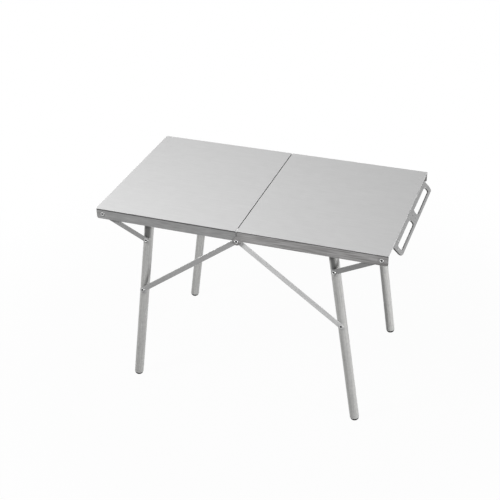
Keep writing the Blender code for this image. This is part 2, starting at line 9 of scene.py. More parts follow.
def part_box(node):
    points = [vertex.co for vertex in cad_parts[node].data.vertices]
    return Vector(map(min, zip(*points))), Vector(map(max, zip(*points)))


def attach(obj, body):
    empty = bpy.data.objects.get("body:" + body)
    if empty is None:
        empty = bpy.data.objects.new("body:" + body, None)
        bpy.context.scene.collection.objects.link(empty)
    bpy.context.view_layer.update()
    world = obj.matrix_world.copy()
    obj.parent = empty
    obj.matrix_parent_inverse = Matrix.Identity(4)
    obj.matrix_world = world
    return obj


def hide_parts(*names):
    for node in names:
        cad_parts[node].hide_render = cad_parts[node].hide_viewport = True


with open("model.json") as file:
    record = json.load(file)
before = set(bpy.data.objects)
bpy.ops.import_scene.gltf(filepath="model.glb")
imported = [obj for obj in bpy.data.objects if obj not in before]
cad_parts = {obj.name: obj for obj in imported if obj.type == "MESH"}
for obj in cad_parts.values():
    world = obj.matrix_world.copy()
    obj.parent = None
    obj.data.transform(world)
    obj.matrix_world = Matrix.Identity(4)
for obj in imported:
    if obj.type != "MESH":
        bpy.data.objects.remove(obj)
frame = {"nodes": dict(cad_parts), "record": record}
nodes = dict(frame["nodes"])
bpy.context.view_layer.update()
print("loaded", len(nodes), "nodes")

ends = ("front", "rear")
sides = ("left", "right")
legs = [(end, side) for end in ends for side in sides]
bodies = frame["record"]["behaviour"]["bodies"]
bodyOf = {node: body for body, held in bodies.items() for node in held}
mm = 0.001


def toLinear(value):
    return value / 12.92 if value <= 0.04045 else ((value + 0.055) / 1.055) ** 2.4


def hexColour(code):
    return (*[toLinear(int(code[i:i + 2], 16) / 255) for i in (1, 3, 5)], 1.0)


# Adds a node, sets its inputs and settings, and links each input that is given as a socket
def addNode(tree, kind, inputs=None, **settings):
    node = tree.nodes.new(kind)
    for name, value in settings.items():
        setattr(node, name, value)
    for name, value in (inputs or {}).items():
        if isinstance(value, bpy.types.NodeSocket):
            tree.links.new(value, node.inputs[name])
        else:
            node.inputs[name].default_value = value
    return node


def newMaterial(name, surface):
    material = bpy.data.materials.new(name)
    material.use_nodes = True
    tree = material.node_tree
    tree.nodes.clear()
    shader = addNode(tree, "ShaderNodeBsdfPrincipled", surface)
    addNode(tree, "ShaderNodeOutputMaterial", {"Surface": shader.outputs[0]})
    return material, tree, shader


def addObject(name, data):
    piece = bpy.data.objects.new(name, data)
    bpy.context.scene.collection.objects.link(piece)
    return piece


# Noise drawn out along X, with features of the given length and thickness in metres
def drawnOutNoise(tree, place, long, thick, detail=3.0):
    stretched = addNode(
        tree, "ShaderNodeMapping", {"Vector": place, "Scale": (1 / long, 1 / thick, 1 / thick)}
    )
    noise = addNode(
        tree,
        "ShaderNodeTexNoise",
        {"Vector": stretched.outputs[0], "Scale": 1.0, "Detail": detail, "Roughness": 0.55},
    )
    return noise.outputs[0]


cameraSetup = {
    "place": (1.0266, -2.9743, 2.3720),
    "yaw": 20.372,
    "pitch": 31.401,
    "roll": -1.265,
    "focal": 1038.8,  # in pixels of the frame
    "frameWidth": 500,
    "sensor": 36.0,
}


def makeCamera(setup):
    yaw, pitch, roll = [math.radians(setup[key]) for key in ("yaw", "pitch", "roll")]
    ahead = Vector(
        (-math.sin(yaw) * math.cos(pitch), math.cos(yaw) * math.cos(pitch), -math.sin(pitch))
    )
    level = Vector((math.cos(yaw), math.sin(yaw), 0))
    upright = level.cross(ahead)
    right = level * math.cos(roll) + upright * math.sin(roll)
    up = upright * math.cos(roll) - level * math.sin(roll)
    data = bpy.data.cameras.new("camera")
    data.sensor_width = setup["sensor"]
    data.lens = setup["focal"] * setup["sensor"] / setup["frameWidth"]
    camera = addObject("camera", data)
    turn = Matrix((right, up, -ahead)).transposed().to_4x4()
    camera.matrix_world = Matrix.Translation(setup["place"]) @ turn
    bpy.context.scene.camera = camera


makeCamera(cameraSetup)
print("camera placed")

studio = {
    "floorColour": "#9E9E9E",
    "floorRoughness": 0.9,
    "floorSize": 30.0,
    "floorGlow": 0.97,  # share of plain white near the table, where its shadow falls
    "shadowRadius": 0.7,
    "fadeRadius": 1.7,
    "worldLevel": 0.16,
    "lamps": {
        # name: place, aim, width, height, watts
        "key": ((-1.45, -1.6, 2.75), (0, 0, 0.5), 0.7, 0.6, 72),
        "right": ((4.4, -1.2, 0.7), (0, 0, 0.35), 0.8, 1.2, 150),
        "overhead": ((-0.4, 0.3, 3.0), (0, 0, 0.6), 3.0, 3.0, 24),
        "back": ((-2.3, 3.0, 0.35), (0, 0, 0.35), 1.2, 0.6, 75),
    },
}


# 1 for the rays that see the studio itself: the camera's, and those of gloss and glass
def directView(tree):
    path = addNode(tree, "ShaderNodeLightPath").outputs
    seen = path["Is Camera Ray"]
    for name in ("Is Glossy Ray", "Is Transmission Ray"):
        seen = addNode(
            tree, "ShaderNodeMath", {0: seen, 1: path[name]}, operation="MAXIMUM"
        ).outputs[0]
    return seen


def makeStudio(setup):
    world = bpy.data.worlds.new("studio")
    bpy.context.scene.world = world
    world.use_nodes = True
    tree = world.node_tree
    tree.nodes.clear()
    level = addNode(
        tree,
        "ShaderNodeMapRange",
        {"Value": directView(tree), "To Min": setup["worldLevel"], "To Max": 1.0},
    )
    sky = addNode(tree, "ShaderNodeBackground", {"Strength": level.outputs[0]})
    sky.inputs["Color"].default_value = (1, 1, 1, 1)
    addNode(tree, "ShaderNodeOutputWorld", {"Surface": sky.outputs[0]})

    half = setup["floorSize"] / 2
    mesh = bpy.data.meshes.new("floor")
    corners = [(-half, -half, 0), (half, -half, 0), (half, half, 0), (-half, half, 0)]
    mesh.from_pydata(corners, [], [(0, 1, 2, 3)])
    floor = addObject("floor", mesh)
    paper, tree, shader = newMaterial("paperBackdrop", {"Roughness": setup["floorRoughness"]})
    shader.inputs["Base Color"].default_value = hexColour(setup["floorColour"])
    place = addNode(tree, "ShaderNodeTexCoord").outputs["Object"]
    away = addNode(tree, "ShaderNodeVectorMath", {0: place}, operation="LENGTH").outputs["Value"]
    glow = addNode(
        tree,
        "ShaderNodeMapRange",
        {
            "Value": away,
            "From Min": setup["shadowRadius"],
            "From Max": setup["fadeRadius"],
            "To Min": setup["floorGlow"],
            "To Max": 1.0,
        },
        interpolation_type="SMOOTHSTEP",
    ).outputs[0]
    share = addNode(tree, "ShaderNodeMath", {0: glow, 1: directView(tree)}, operation="MULTIPLY")
    white = addNode(tree, "ShaderNodeEmission", {"Color": (1, 1, 1, 1), "Strength": 1.0})
    mixed = addNode(
        tree,
        "ShaderNodeMixShader",
        {0: share.outputs[0], 1: shader.outputs[0], 2: white.outputs[0]},
    )
    output = next(node for node in tree.nodes if node.type == "OUTPUT_MATERIAL")
    tree.links.new(mixed.outputs[0], output.inputs["Surface"])
    mesh.materials.append(paper)

    for name, (place, aim, width, height, power) in setup["lamps"].items():
        data = bpy.data.lights.new(name, "AREA")
        data.shape = "RECTANGLE"
        data.size = width
        data.size_y = height
        data.energy = power
        lamp = addObject(name, data)
        lamp.location = place
        lamp.rotation_euler = (Vector(aim) - Vector(place)).to_track_quat("-Z", "Y").to_euler()


makeStudio(studio)
print("studio lit")


# What the grained metals share. A pair of numbers runs from none of the effect to all of it.
metalPattern = {
    "grainOctaves": 4.0,
    "grainTone": (0.32, 0.68),  # the noise, from darkest to lightest
    "grainGloss": (0.3, 0.7),
    "grainDepth": 0.05,
    "broadLength": 2.6,  # the broad streaks, in lengths of the grain
    "broadThickness": 4,
    "cloudOctaves": 5.0,
    "patch": (0.45, 0.75),
    # near black, painted on as shade
    "paintedShade": "#262626",
    "wallTilt": (0.9, 0.6),  # how far a wall still looks out of the sheet's face
    "wallTurn": (0.1, 0.35),  # how far it looks to the side painted with shade
    "wornAndLitEdge": (0.98, 0.78),  # a rounded normal against the true one
    "wornAndLitShare": 0.6,
    "edgeMaskSamples": 4,
}


# Painted shade: a band of the piece darkened as shadow, from start to full in metres
def paintShadeInBand(tree, place, colour, look):
    axis, start, full = look["shadeBand"]
    along = addNode(tree, "ShaderNodeSeparateXYZ", {0: place}).outputs[axis]
    shadeAmount = addNode(
        tree,
        "ShaderNodeMapRange",
        {"Value": along, "From Min": start, "From Max": full, "To Max": look["shadeShare"]},
    ).outputs[0]
    if look["shadeFacing"]:  # only on the sides that face front and back
        normal = addNode(tree, "ShaderNodeTexCoord").outputs["Normal"]
        facing = addNode(tree, "ShaderNodeSeparateXYZ", {0: normal}).outputs["Y"]
        facing = addNode(tree, "ShaderNodeMath", {0: facing}, operation="ABSOLUTE").outputs[0]
        none, full = look["shadeFacing"]
        held = addNode(
            tree, "ShaderNodeMapRange", {"Value": facing, "From Min": none, "From Max": full}
        ).outputs[0]
        shadeAmount = addNode(
            tree, "ShaderNodeMath", {0: shadeAmount, 1: held}, operation="MULTIPLY"
        ).outputs[0]
    return addNode(
        tree,
        "ShaderNodeMix",
        {0: shadeAmount, 6: colour, 7: hexColour(metalPattern["paintedShade"])},
        data_type="RGBA",
    ).outputs[2]


# Painted shade on the pressed walls that stand across a sheet's face, where they look to wallSide
def paintShadeOnWalls(tree, colour, look):
    normal = addNode(tree, "ShaderNodeTexCoord").outputs["Normal"]
    tilt = addNode(
        tree, "ShaderNodeVectorMath", {0: normal, 1: look["faceNormal"]}, operation="DOT_PRODUCT"
    ).outputs["Value"]
    tilt = addNode(tree, "ShaderNodeMath", {0: tilt}, operation="ABSOLUTE").outputs[0]
    none, full = metalPattern["wallTilt"]
    onWall = addNode(
        tree,
        "ShaderNodeMapRange",
        {"Value": tilt, "From Min": none, "From Max": full, "To Max": look["wallShare"]},
    ).outputs[0]
    turn = addNode(
        tree, "ShaderNodeVectorMath", {0: normal, 1: look["wallSide"]}, operation="DOT_PRODUCT"
    ).outputs["Value"]
    none, full = metalPattern["wallTurn"]
    held = addNode(
        tree, "ShaderNodeMapRange", {"Value": turn, "From Min": none, "From Max": full}
    ).outputs[0]
    onWall = addNode(
        tree, "ShaderNodeMath", {0: onWall, 1: held}, operation="MULTIPLY"
    ).outputs[0]
    return addNode(
        tree,
        "ShaderNodeMix",
        {0: onWall, 6: colour, 7: hexColour(metalPattern["paintedShade"])},
        data_type="RGBA",
    ).outputs[2]


# Edges are lighter: partly rubbed by handling, partly a painted highlight that the edges catch
def wornAndLitEdges(tree, colour, look):
    rounded = addNode(
        tree, "ShaderNodeBevel", {"Radius": look["wornAndLitRadius"] * mm}, samples=metalPattern["edgeMaskSamples"]
    ).outputs[0]
    true = addNode(tree, "ShaderNodeNewGeometry").outputs["Normal"]
    alike = addNode(
        tree, "ShaderNodeVectorMath", {0: rounded, 1: true}, operation="DOT_PRODUCT"
    ).outputs["Value"]
    none, full = metalPattern["wornAndLitEdge"]
    wornAndLitEdge = addNode(
        tree,
        "ShaderNodeMapRange",
        {"Value": alike, "From Min": none, "From Max": full, "To Max": metalPattern["wornAndLitShare"]},
    ).outputs[0]
    return addNode(
        tree, "ShaderNodeMix", {0: wornAndLitEdge, 6: colour, 7: hexColour(look["wornAndLit"])}, data_type="RGBA"
    ).outputs[2]


# Wrought metal with a grain along one line: brushed, rolled or drawn.
# The grain gives long streaks of tone, and the gloss varies with it; clouds are handling marks
# and oxide. Lengths are in millimetres, and lean is the grain's slope off level in degrees.
def grainedMetal(name, look):
    surface = {
        "Metallic": look["metallic"],
        "Roughness": look["roughness"][0],
        "Specular IOR Level": look["specular"],
    }
    material, tree, shader = newMaterial(name, surface)
    place = addNode(tree, "ShaderNodeTexCoord").outputs["Object"]
    turned = addNode(
        tree,
        "ShaderNodeMapping",
        {"Vector": place, "Rotation": (0, math.radians(-look["lean"]), 0)},
    ).outputs[0]
    if look["alongY"]:
        turned = addNode(
            tree, "ShaderNodeMapping", {"Vector": turned, "Rotation": (0, 0, math.radians(90))}
        ).outputs[0]
    long, thick = [value * mm for value in look["grain"]]
    grain = drawnOutNoise(tree, turned, long, thick, metalPattern["grainOctaves"])
    long *= metalPattern["broadLength"]
    thick *= metalPattern["broadThickness"]
    broad = drawnOutNoise(tree, turned, long, thick)
    cloud = look["cloud"] * mm
    clouds = drawnOutNoise(tree, place, cloud, cloud, metalPattern["cloudOctaves"])
    none, full = metalPattern["grainTone"]
    tone = addNode(
        tree, "ShaderNodeMapRange", {"Value": grain, "From Min": none, "From Max": full}
    ).outputs[0]
    colour = addNode(
        tree,
        "ShaderNodeMix",
        {0: tone, 6: hexColour(look["dark"]), 7: hexColour(look["light"])},
        data_type="RGBA",
    ).outputs[2]
    none, full = metalPattern["patch"]
    for pattern, share, shade in (
        (broad, look["broadShare"], look["dark"]),
        (clouds, look["cloudShare"], look["stain"]),
    ):
        amount = addNode(
            tree,
            "ShaderNodeMapRange",
            {"Value": pattern, "From Min": none, "From Max": full, "To Max": share},
        ).outputs[0]
        colour = addNode(
            tree, "ShaderNodeMix", {0: amount, 6: colour, 7: hexColour(shade)}, data_type="RGBA"
        ).outputs[2]
    # painted shade, in a band of the piece and on its pressed walls
    if look["shadeShare"]:
        colour = paintShadeInBand(tree, place, colour, look)
    if look["wallShare"]:
        colour = paintShadeOnWalls(tree, colour, look)
    tree.links.new(wornAndLitEdges(tree, colour, look), shader.inputs["Base Color"])
    none, full = metalPattern["grainGloss"]
    smooth, rough = look["roughness"]
    gloss = addNode(
        tree,
        "ShaderNodeMapRange",
        {"Value": grain, "From Min": none, "From Max": full, "To Min": smooth, "To Max": rough},
    )
    tree.links.new(gloss.outputs[0], shader.inputs["Roughness"])
    depth = metalPattern["grainDepth"] * mm
    relief = addNode(
        tree, "ShaderNodeBump", {"Height": grain, "Strength": look["relief"], "Distance": depth}
    )
    tree.links.new(relief.outputs[0], shader.inputs["Normal"])
    return material


def setMaterial(node, material):
    mesh = nodes[node].data
    mesh.materials.clear()
    mesh.materials.append(material)


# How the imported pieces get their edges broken: lengths in millimetres, angles in degrees
edgeWork = {
    "join": 0.002,  # vertices this close become one
    "flat": 1,  # and so do faces that are level within this
    "sharp": 40,  # an edge that turns by more is broken
    "steps": 2,
    "sliver": 0.01,
}


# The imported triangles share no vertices, so they are joined before an edge can be rounded
def joinFaces(node):
    nodes[node].modifiers.new("joinedFaces", "WELD").merge_threshold = edgeWork["join"] * mm
    flat = nodes[node].modifiers.new("flatFaces", "DECIMATE")
    flat.decimate_type = "DISSOLVE"
    flat.angle_limit = math.radians(edgeWork["flat"])


# Closes the slivers that rounded edges leave where they meet
def dropSlivers(node):
    nodes[node].modifiers.new("noSlivers", "WELD").merge_threshold = edgeWork["sliver"] * mm


# Sheet and bar edges are broken by a small radius, which catches a thin line of light
def breakEdges(node, radius, steps=edgeWork["steps"]):
    joinFaces(node)
    bevel = nodes[node].modifiers.new("brokenEdge", "BEVEL")
    bevel.width = radius * mm
    bevel.segments = steps
    bevel.limit_method = "ANGLE"
    bevel.angle_limit = math.radians(edgeWork["sharp"])
    dropSlivers(node)


# Aluminium sheet, finely brushed and clear anodised: a pale satin top with a faint lengthwise
# grain. The real scratches are under 0.2 mm, so they are drawn at 1.6 mm to show at all.
topSheet = {
    "dark": "#C2C2C2",
    "light": "#CACACA",
    "stain": "#BBBBBB",
    "wornAndLit": "#E6E6E6",
    "grain": (70, 1.6),
    "broadShare": 0.35,
    "cloud": 38,
    "cloudShare": 0.22,
    "roughness": (0.52, 0.64),
    "relief": 0.10,
    "wornAndLitRadius": 1.5,
    "metallic": 0.05,
    "specular": 0.2,
    "lean": 0,
    "alongY": False,
    "edge": 0.5,
    "shadeShare": 0.0,
    "wallShare": 0.0,
}

anodisedSheet = grainedMetal("brushedAnodisedAluminium", topSheet)
for side in sides:
    setMaterial(f"{side}_top_panel", anodisedSheet)
    breakEdges(f"{side}_top_panel", topSheet["edge"])
print("top panels dressed")

# Folded aluminium rails, coarsely brushed along their length: mid grey with darker streaks.
# The right half's pair is more worn than the left's.
leftRailSheet = {
    "dark": "#828282",
    "light": "#9E9E9E",
    "stain": "#7C7C7C",
    "wornAndLit": "#BCBCBC",
    "grain": (36, 2.2),
    "broadShare": 0.3,
    "cloud": 30,
    "cloudShare": 0.2,
    "roughness": (0.38, 0.5),
    "relief": 0.2,
    "wornAndLitRadius": 1.2,
    "metallic": 0.15,
    "specular": 0.5,
    "lean": 0,
    "alongY": False,
    "edge": 0.4,
    "foldDepth": 4.6,  # painted shade lies under the panel down to here
    "foldFade": 0.6,  # and thins out over this much
    "shadeShare": 0.9,
    "shadeFacing": None,
    "wallShare": 0.0,
}
rightRailSheet = {
    **leftRailSheet,
    "dark": "#6C6A69",
    "light": "#B4B3B3",
    "grain": (85, 2.6),
    "broadShare": 0.5,
    "cloudShare": 0.3,
    "foldDepth": 3.4,
    "shadeShare": 0.85,
}
crossRailSheet = {
    **leftRailSheet,
    "alongY": True,
    "foldDepth": 1.5,
    "foldFade": 1.0,
    "shadeShare": 0.97,
}


# A dark line painted on the rail as shade, just under the panel's edge
def foldShade(panel, rail, look):
    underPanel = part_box(panel)[0].z - nodes[rail].matrix_world.translation.z
    start = underPanel - look["foldDepth"] * mm
    return ("Z", start, start + look["foldFade"] * mm)


for side, look in (("left", leftRailSheet), ("right", rightRailSheet)):
    paintedShade = foldShade(f"{side}_top_panel", f"{side}_front_rail", look)
    railSheet = grainedMetal(f"brushedAluminiumRail.{side}", {**look, "shadeBand": paintedShade})
    for end in ends:
        setMaterial(f"{side}_{end}_rail", railSheet)
        breakEdges(f"{side}_{end}_rail", look["edge"])
paintedShade = foldShade("left_top_panel", "left_end_rail", crossRailSheet)
crossSheet = grainedMetal("brushedAluminiumCrossRail", {**crossRailSheet, "shadeBand": paintedShade})
for node in ("left_hinge_cross_rail", "right_hinge_cross_rail", "left_end_rail"):
    setMaterial(node, crossSheet)
    breakEdges(node, crossRailSheet["edge"])

# The left rails' tongues reach up behind the seam and close the view through it
seamTongue = {
    "reach": (-14.0, 6.0),  # along X from the seam's middle
    "inset": 1.8,  # behind the rail's outer face
    "top": 4.0,  # below the panel's underside
    "height": 19.0,  # of its left side
    "rightShare": 0.62,  # its right side's height against that
    "thickness": 1.4,
    "edge": 0.4,
    "edgeSteps": 2,
}


def makeSeamTongue(end, outward):
    seamMiddle = (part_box("left_top_panel")[1].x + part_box("right_top_panel")[0].x) / 2
    railLow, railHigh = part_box(f"left_{end}_rail")
    outer = (railLow.y if outward < 0 else railHigh.y) - outward * seamTongue["inset"] * mm
    left, right = [seamMiddle + value * mm for value in seamTongue["reach"]]
    height = seamTongue["height"] * mm
    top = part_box("left_top_panel")[0].z - seamTongue["top"] * mm
    shortEnd = top - seamTongue["rightShare"] * height
    corners = [(left, top), (right, top), (right, shortEnd), (left, top - height)]
    bm = bmesh.new()
    face = bm.faces.new([bm.verts.new((x, outer, z)) for x, z in corners])
    deep = bmesh.ops.extrude_face_region(bm, geom=[face])["geom"]
    moved = [item for item in deep if isinstance(item, bmesh.types.BMVert)]
    bmesh.ops.translate(bm, verts=moved, vec=(0, -outward * seamTongue["thickness"] * mm, 0))
    bmesh.ops.recalc_face_normals(bm, faces=bm.faces)
    bmesh.ops.bevel(
        bm,
        geom=bm.edges[:],
        offset=seamTongue["edge"] * mm,
        segments=seamTongue["edgeSteps"],
        affect="EDGES",
        clamp_overlap=True,
    )
    mesh = bpy.data.meshes.new(f"{end}_seam_tongue")
    bm.to_mesh(mesh)
    bm.free()
    mesh.materials.append(crossSheet)
    piece = addObject(f"{end}_seam_tongue", mesh)
    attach(piece, bodyOf[f"left_{end}_rail"])


makeSeamTongue("front", -1)
makeSeamTongue("rear", 1)
print("rails dressed")

# Pressed aluminium handle, tumbled smooth so that it is even and satin
handleSheet = {
    **leftRailSheet,
    "dark": "#929292",
    "light": "#A2A2A2",
    "stain": "#868686",
    "wornAndLit": "#C8C8C8",
    "grain": (40, 2.0),
    "cloudShare": 0.3,
    "alongY": True,
    "edge": 0.35,
    "shadeShare": 0.0,
    # shade painted dark on the slots' walls and bends
    "wallShare": 0.75,
    "faceNormal": (0.707, 0, 0.707),
    "wallSide": (-0.5, -0.707, 0.5),
    "roughness": (0.4, 0.5),
    "slopeWidth": 41,  # of its face, down the slope
    "faceWithin": 0.1,  # what lies this close to the face belongs to it
    # the slots' upper edges are pressed down in a soft bend
    "slotBend": 3.6,
    "slotBendSteps": 6,
    "slotBand": (12, 32),  # they lie between these, down the slope
    "slotReach": 209,  # and this far from the middle
}


# Rounds the edges of the handle's face that lie in the slots' band, and breaks its other edges
def bendSlots(node, look):
    mesh = nodes[node].data
    across = Vector(look["faceNormal"]).normalized()
    down = Vector((across.z, 0, -across.x))
    near = look["faceWithin"] * mm
    points = [vertex.co for vertex in mesh.vertices]
    face = max(across.dot(point) for point in points)
    lip = max(down.dot(point) for point in points if across.dot(point) > face - near)
    start, end = [lip + (distance - look["slopeWidth"]) * mm for distance in look["slotBand"]]
    tree = bpy.data.node_groups.new("slotBend", "GeometryNodeTree")
    tree.interface.new_socket("Geometry", in_out="INPUT", socket_type="NodeSocketGeometry")
    tree.interface.new_socket("Geometry", in_out="OUTPUT", socket_type="NodeSocketGeometry")
    place = addNode(tree, "GeometryNodeInputPosition").outputs[0]
    turn = addNode(tree, "GeometryNodeInputMeshEdgeAngle").outputs["Unsigned Angle"]
    sharp = addNode(
        tree,
        "ShaderNodeMath",
        {0: turn, 1: math.radians(edgeWork["sharp"])},
        operation="GREATER_THAN",
    ).outputs[0]
    chosen = sharp
    for direction, low, high in (
        (across, face - near, face + near),
        (down, start, end),
        (Vector((0, 1, 0)), -look["slotReach"] * mm, look["slotReach"] * mm),
    ):
        distance = addNode(
            tree, "ShaderNodeVectorMath", {0: place, 1: direction}, operation="DOT_PRODUCT"
        ).outputs["Value"]
        for limit, operation in ((low, "GREATER_THAN"), (high, "LESS_THAN")):
            inside = addNode(tree, "ShaderNodeMath", {0: distance, 1: limit}, operation=operation)
            chosen = addNode(
                tree, "ShaderNodeMath", {0: chosen, 1: inside.outputs[0]}, operation="MULTIPLY"
            ).outputs[0]
    others = addNode(
        tree,
        "ShaderNodeMath",
        {0: sharp, 1: look["edge"] / look["slotBend"]},
        operation="MULTIPLY",
    ).outputs[0]
    weight = addNode(
        tree, "ShaderNodeMath", {0: chosen, 1: others}, operation="MAXIMUM"
    ).outputs[0]
    whole = addNode(tree, "NodeGroupInput").outputs[0]
    marked = addNode(
        tree,
        "GeometryNodeStoreNamedAttribute",
        {"Geometry": whole, "Name": "bevel_weight_edge", "Value": weight},
        data_type="FLOAT",
        domain="EDGE",
    ).outputs[0]
    addNode(tree, "NodeGroupOutput", {0: marked})
    joinFaces(node)
    nodes[node].modifiers.new("slotBendEdges", "NODES").node_group = tree
    bevel = nodes[node].modifiers.new("slotBend", "BEVEL")
    bevel.width = look["slotBend"] * mm
    bevel.segments = look["slotBendSteps"]
    bevel.limit_method = "WEIGHT"
    bevel.use_clamp_overlap = False
    dropSlivers(node)


handleMetal = grainedMetal("pressedAluminiumHandle", handleSheet)
setMaterial("carry_handle", handleMetal)
bendSlots("carry_handle", handleSheet)
print("handle dressed")

# The photo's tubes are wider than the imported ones. What belongs to a leg is copied from the packed
# mesh and widened about the tube's middle line, and its side at the braces stays where it is.
wideLeg = {
    "diameter": 32.0,
    "slots": {
        "leg": "leg_tube",
        "leg_plug": "leg_plugs",
        "foot": "feet",
        "lower_leg_rivet_tail": "rivets",
    },
}
tubeLow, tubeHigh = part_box("front_left_leg")
packedDiameter = (tubeHigh.y - tubeLow.y) / mm


def centreOf(node):
    low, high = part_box(node)
    return (low + high) / 2


def widenLeg(end, side):
    name = f"{end}_{side}"
    low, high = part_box(f"{name}_leg")
    outerSide = low.y if end == "front" else high.y
    upper, lower = centreOf(f"{name}_upper_leg_rivet"), centreOf(f"{name}_lower_leg_rivet")
    factor = wideLeg["diameter"] / packedDiameter
    for kind, slot in wideLeg["slots"].items():
        packed = nodes[f"{name}_{kind}"]
        origin = packed.matrix_world.translation
        mesh = packed.data.copy()
        for vertex in mesh.vertices:
            place = vertex.co + origin
            share = (place.z - lower.z) / (upper.z - lower.z)
            middle = lower.x + (upper.x - lower.x) * share
            place.x = middle + (place.x - middle) * factor
            place.y = outerSide + (place.y - outerSide) * factor
            vertex.co = place - origin
        piece = addObject(f"{name}_{kind}_dressed", mesh)
        piece.location = origin
        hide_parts(f"{name}_{kind}")
        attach(piece, bodyOf[f"{name}_{kind}"])
        nodes[f"{name}_{kind}"] = piece


for end, side in legs:
    widenLeg(end, side)

# Drawn aluminium tube with its mill finish: lengthwise die lines under a mottled oxide
legTube = {
    "tones": {
        # leg: dark, light, stain, and how squarely its sides painted with shade face front or back
        # the tones differ from leg to leg as painted light, and the rear right leg is painted
        # lighter where its side lacks light
        "front_left": ("#A2A2A0", "#BEBEBC", "#929294", (0.62, 0.9)),
        "rear_left": ("#A2A2A0", "#BEBEBC", "#929294", (0.62, 0.9)),
        "front_right": ("#A6A6A4", "#C0C0BE", "#949496", (0.76, 0.97)),
        "rear_right": ("#B6B6B4", "#D0D0CE", "#A4A4A6", (0.76, 0.97)),
    },
    "wornAndLit": "#E2E2E2",
    "grain": (120, 1.8),
    "broadShare": 0.4,
    "cloud": 9,
    "cloudShare": 0.5,
    "roughness": (0.26, 0.4),
    "relief": 0.25,
    "wornAndLitRadius": 1.0,
    "metallic": 0.1,
    "specular": 0.5,
    "lean": 82,
    "alongY": False,
    "edge": 0.35,
    "shadeAbove": 3.0,  # painted shade starts this far above the upper rivet, as the shadow of the brace and the rail
    "shadeFade": 3,  # and is full this much higher
    "shadeShare": 0.8,
    "wallShare": 0.0,
}

for name, (dark, light, stain, shadeFacing) in legTube["tones"].items():
    sign = 1 if name.endswith("right") else -1
    rivetHeight = centreOf(f"{name}_upper_leg_rivet").z - nodes[f"{name}_leg"].location.z
    shadeStart = rivetHeight + legTube["shadeAbove"] * mm
    # paints shade on the tube's top, above the upper rivet
    look = {
        **legTube,
        "dark": dark,
        "light": light,
        "stain": stain,
        "lean": sign * legTube["lean"],
        "shadeBand": ("Z", shadeStart, shadeStart + legTube["shadeFade"] * mm),
        "shadeFacing": shadeFacing,
    }
    setMaterial(f"{name}_leg", grainedMetal(f"drawnAluminiumTube.{name}", look))
    breakEdges(f"{name}_leg", legTube["edge"])
print("legs dressed")

# Rolled steel bar, zinc plated: smoother than the rails, with a soft lengthwise grain.
# The slopes are the bars' own, and the tones differ from bar to bar as painted light, for how each
# bar's sheen catches the light.
braceBar = {
    **leftRailSheet,
    "stain": "#8A8A88",
    "wornAndLit": "#D0D0D0",
    "grain": (50, 2.4),
    "cloudShare": 0.12,
    "roughness": (0.42, 0.54),
    "metallic": 0.1,
    "edge": 0.45,
    "relief": 0.04,
    "shadeShare": 0.0,
    "tones": {
        # brace: slope in degrees, dark, light
        "left_short": (26.3, "#8A8A8A", "#9A9A9A"),
        "right_short": (-26.3, "#7C7C7C", "#8C8C8C"),
        "left_long": (-36.4, "#989898", "#A6A6A6"),
        "right_long": (36.4, "#C8C8C8", "#D6D6D6"),
    },
}

for name, (lean, dark, light) in braceBar["tones"].items():
    side, kind = name.split("_")
    look = {**braceBar, "lean": lean, "dark": dark, "light": light}
    barMetal = grainedMetal(f"zincPlatedBar.{name}", look)
    for end in ends:
        setMaterial(f"{end}_{side}_{kind}_brace", barMetal)
        breakEdges(f"{end}_{side}_{kind}_brace", braceBar["edge"])
print("braces dressed")


# A plain surface with a fine mottle of tone and gloss, for small turned and moulded pieces
def mottledSurface(name, look):
    surface = {"Metallic": look["metallic"], "Specular IOR Level": look["specular"]}
    material, tree, shader = newMaterial(name, surface)
    place = addNode(tree, "ShaderNodeTexCoord").outputs["Object"]
    speck = drawnOutNoise(tree, place, look["speck"] * mm, look["speck"] * mm, 4.0)
    colour = addNode(
        tree,
        "ShaderNodeMix",
        {0: speck, 6: hexColour(look["dark"]), 7: hexColour(look["light"])},
        data_type="RGBA",
    )
    tree.links.new(colour.outputs[2], shader.inputs["Base Color"])
    gloss = addNode(
        tree,
        "ShaderNodeMapRange",
        {"Value": speck, "To Min": look["roughness"][0], "To Max": look["roughness"][1]},
    )
    tree.links.new(gloss.outputs[0], shader.inputs["Roughness"])
    relief = addNode(
        tree, "ShaderNodeBump", {"Height": speck, "Strength": look["relief"], "Distance": 0.1 * mm}
    )
    tree.links.new(relief.outputs[0], shader.inputs["Normal"])
    return material


turnedSharp = 38  # turned pieces are smooth over edges that turn by fewer degrees


# A body turned about an axis from (radius, depth) points in millimetres, from start along axis.
# Faces between profile points named in inner take the second material.
def turnedPiece(name, profile, start, axis, steps, materials, inner=()):
    bm = bmesh.new()
    aim = Vector(axis).normalized()
    turn = aim.to_track_quat("Z", "Y").to_matrix()
    rings = []
    for radius, depth in profile:
        count = 1 if radius == 0 else steps
        ring = []
        for step in range(count):
            angle = 2 * math.pi * step / steps
            point = Vector((radius * math.cos(angle), radius * math.sin(angle), depth)) * mm
            ring.append(bm.verts.new(Vector(start) + turn @ point))
        rings.append(ring)
    for index, (first, second) in enumerate(zip(rings, rings[1:])):
        for step in range(steps):
            following = (step + 1) % steps
            corners = [
                first[step % len(first)],
                first[following % len(first)],
                second[following % len(second)],
                second[step % len(second)],
            ]
            face = bm.faces.new(dict.fromkeys(corners))
            face.smooth = True
            face.material_index = 1 if index in inner else 0
    bmesh.ops.recalc_face_normals(bm, faces=bm.faces)
    mesh = bpy.data.meshes.new(name)
    bm.to_mesh(mesh)
    bm.free()
    for material in materials:
        mesh.materials.append(material)
    mesh.set_sharp_from_angle(angle=math.radians(turnedSharp))
    return addObject(name, mesh)
